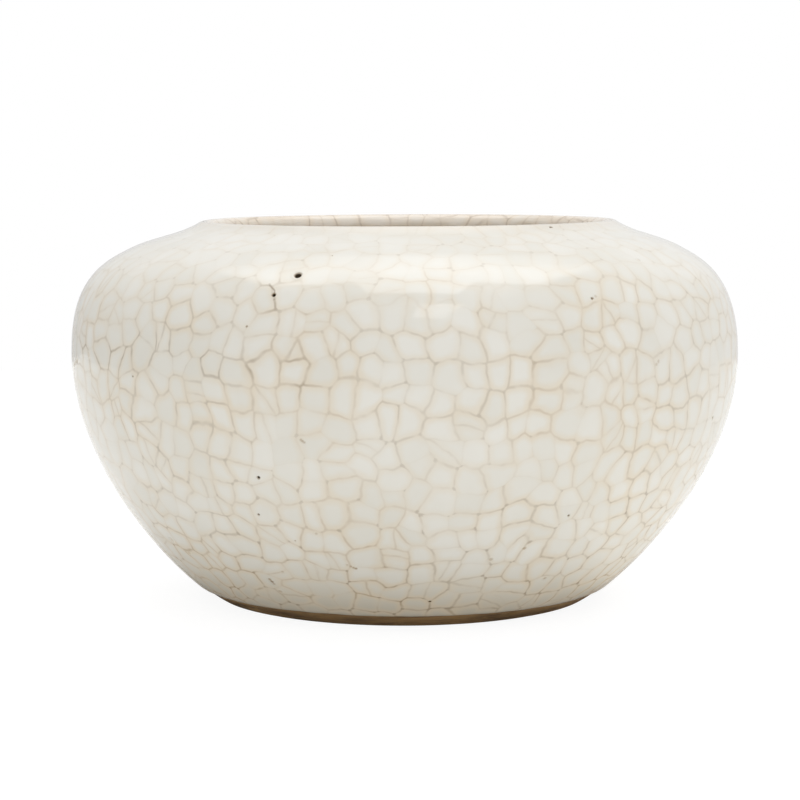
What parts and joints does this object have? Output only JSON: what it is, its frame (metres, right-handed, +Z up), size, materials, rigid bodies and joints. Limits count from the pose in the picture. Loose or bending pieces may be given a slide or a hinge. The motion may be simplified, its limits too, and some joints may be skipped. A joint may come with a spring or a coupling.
{
  "type": "water coupe",
  "caption": "Squat round water pot with a wide belly, flat shoulder, small upturned lip and low bare foot, under a crackled white glaze; holds water on a writing desk.",
  "frame": {"origin": "middle of the foot ring, on the table", "axes": "+Z up along the pot's axis, from the foot to the mouth; X and Y across it"},
  "size_m": [0.12, 0.12, 0.0681],
  "materials": {
    "stoneware": "matt fired clay",
    "outer_glaze": "glossy crackled glaze",
    "inner_glaze": "glossy crackled glaze",
    "base_glaze": "glossy crackled glaze",
    "foot_slip": "matt iron-brown slip"
  },
  "bodies": {
    "root": {"clay_body": "stoneware", "outer_glaze": "outer_glaze", "inner_glaze": "inner_glaze", "base_glaze": "base_glaze", "foot_slip": "foot_slip"}
  },
  "joints": []
}
